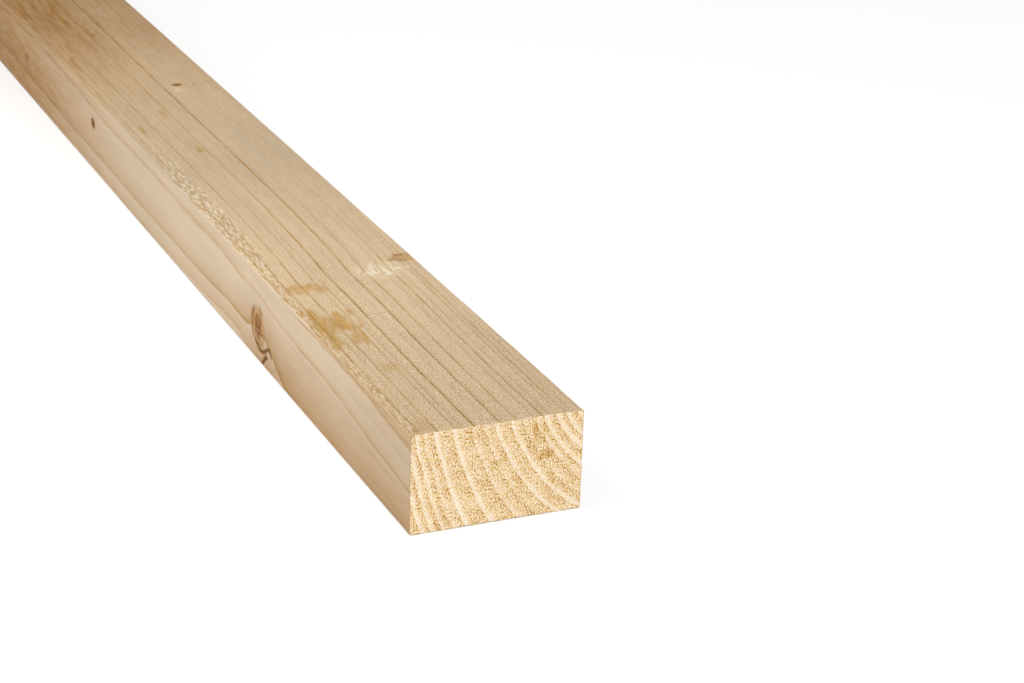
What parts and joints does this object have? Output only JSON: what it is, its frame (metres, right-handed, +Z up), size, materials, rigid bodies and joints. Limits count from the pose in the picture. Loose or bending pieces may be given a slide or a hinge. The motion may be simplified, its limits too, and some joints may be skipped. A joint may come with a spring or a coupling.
{
  "type": "timber plank",
  "caption": "Straight rectangular length of sawn softwood timber with planed narrow sides, slightly eased long edges and square cut ends.",
  "frame": {"origin": "middle of the wide face that the plank lies on, under its centre line", "axes": "+X across the width, +Y along the length away from the end that the picture shows, +Z up through the thickness"},
  "size_m": [0.075, 2.4, 0.044],
  "materials": {
    "softwood": "rough sawn wide faces and ends, planed narrow sides, no coating"
  },
  "bodies": {
    "root": {"plank": "softwood"}
  },
  "joints": []
}
